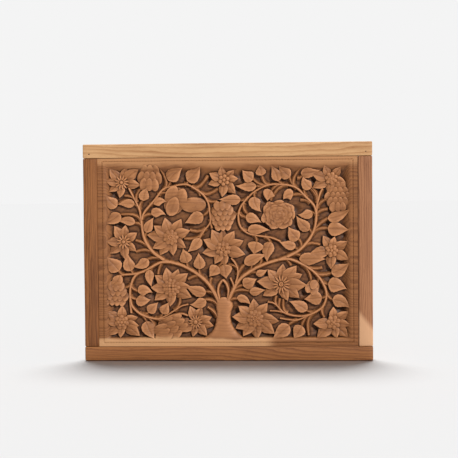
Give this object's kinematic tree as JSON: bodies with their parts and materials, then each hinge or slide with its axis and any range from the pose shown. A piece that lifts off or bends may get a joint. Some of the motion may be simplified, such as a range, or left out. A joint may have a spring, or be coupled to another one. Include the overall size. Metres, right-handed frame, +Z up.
{
  "type": "carved wall plate",
  "caption": "Rectangular wall plate: a flowering tree carved in deep relief on a walnut panel, in a butt-jointed walnut frame.",
  "frame": {"origin": "middle of the flat back, where the plate meets the wall", "axes": "+Y into the wall, +X to the right seen from the front, +Z up; the carved face looks towards -Y"},
  "size_m": [0.406, 0.02, 0.306],
  "materials": {
    "carved_walnut": "oiled, semi-matt, dark in the cuts",
    "pale_walnut": "planed and oiled sapwood, semi-matt",
    "brown_walnut": "planed and oiled, semi-matt",
    "peg_wood": "dark end grain, semi-matt"
  },
  "bodies": {
    "root": {"carved_panel": "carved_walnut", "top_rail": "pale_walnut", "bottom_rail": "brown_walnut", "left_stile": "brown_walnut", "right_stile": "brown_walnut", "left_peg": "peg_wood", "right_peg": "peg_wood"}
  },
  "joints": []
}
